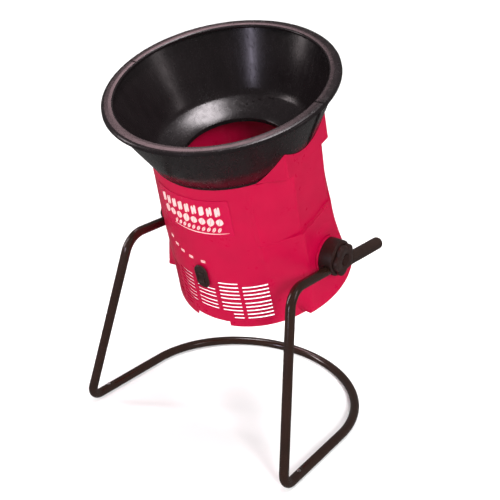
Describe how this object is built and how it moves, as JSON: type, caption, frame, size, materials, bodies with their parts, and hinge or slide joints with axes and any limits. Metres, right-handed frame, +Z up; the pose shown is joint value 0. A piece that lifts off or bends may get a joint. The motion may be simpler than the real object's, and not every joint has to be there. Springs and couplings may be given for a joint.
{
  "type": "electric leaf mulcher",
  "caption": "Electric leaf mulcher: loose funnel hopper on a red motor housing that tilts between the clamp knobs of a bent-tube stand.",
  "frame": {"origin": "on the ground, under the middle of the bounding box of the part as pictured", "axes": "+Z up, +X to the part's right-hand knob, -Y to the open front of the stand, where the switch is"},
  "size_m": [0.5962, 0.6842, 0.9438],
  "materials": {
    "red_plastic": "satin to gloss moulded crimson",
    "black_plastic": "satin moulded black",
    "black_tube": "satin baked paint",
    "steel": "plain satin steel",
    "copper": "lacquered winding",
    "rubber": "matte",
    "nylon": "drawn line",
    "lead_insulation": "soft insulation",
    "label_film": "printed film"
  },
  "bodies": {
    "stand": {"stand_leg_left": "black_tube", "stand_leg_right": "black_tube", "stand_rear_loop": "black_tube", "loop_screw_left": "steel", "loop_screw_right": "steel", "arm_grip_left": "rubber", "arm_grip_right": "rubber", "tilt_hub_left": "black_plastic", "tilt_hub_right": "black_plastic"},
    "machine": {"housing": "red_plastic", "base_ring": "red_plastic", "label_panel": "label_film", "pivot_boss_left": "red_plastic", "pivot_boss_right": "red_plastic", "tilt_stud_left": "steel", "tilt_stud_right": "steel", "motor_mount": "black_plastic", "motor_screw_1": "steel", "motor_screw_2": "steel", "motor_screw_3": "steel", "motor_can": "steel", "upper_end_bell": "steel", "lower_end_bell": "steel", "upper_bearing": "steel", "lower_bearing": "steel", "stator_core": "steel", "brush_left": "black_plastic", "brush_right": "black_plastic", "motor_cover": "black_plastic", "switch_bezel": "black_plastic", "switch_body": "black_plastic", "inlet_shroud": "black_plastic", "inlet_blade_left": "steel", "inlet_blade_right": "steel", "lead_inlet_to_switch": "lead_insulation", "lead_switch_to_motor": "lead_insulation"},
    "rotor": {"motor_shaft": "steel", "armature": "copper", "commutator": "copper", "cooling_fan": "black_plastic", "cutter_head": "steel", "head_nut": "steel", "cutting_line_a": "nylon", "cutting_line_b": "nylon", "line_clip_a_left": "steel", "line_clip_a_right": "steel", "line_clip_b_left": "steel", "line_clip_b_right": "steel"},
    "hopper": {"hopper_cone": "black_plastic", "hopper_rim": "black_plastic"},
    "rocker": {"switch_rocker": "black_plastic"},
    "knob_left": {"clamp_knob_left": "black_plastic", "knob_nut_left": "steel"},
    "knob_right": {"clamp_knob_right": "black_plastic", "knob_nut_right": "steel"}
  },
  "joints": [
    {"name": "machine_tilt", "type": "hinge", "parent": "stand", "child": "machine", "pos_m": [0, 0.0458, 0.466], "axis": [1, 0, 0], "range_deg": [-35, 8]},
    {"name": "hopper_lift", "type": "slide", "parent": "machine", "child": "hopper", "axis": [0, -0.3665, 0.9304], "range_m": [0, 0.12]},
    {"name": "rotor_spin", "type": "hinge", "parent": "machine", "child": "rotor", "pos_m": [0, -0.00185, 0.58695], "axis": [0, -0.3665, 0.9304], "continuous": true},
    {"name": "rocker_tip", "type": "hinge", "parent": "machine", "child": "rocker", "pos_m": [0, -0.14333, 0.41609], "axis": [1, 0, 0], "range_deg": [0, 10]},
    {"name": "knob_left_turn", "type": "hinge", "parent": "machine", "child": "knob_left", "pos_m": [-0.247, 0.0458, 0.466], "axis": [-1, 0, 0], "range_deg": [0, 360]},
    {"name": "knob_right_turn", "type": "hinge", "parent": "machine", "child": "knob_right", "pos_m": [0.247, 0.0458, 0.466], "axis": [1, 0, 0], "range_deg": [0, 360]}
  ]
}
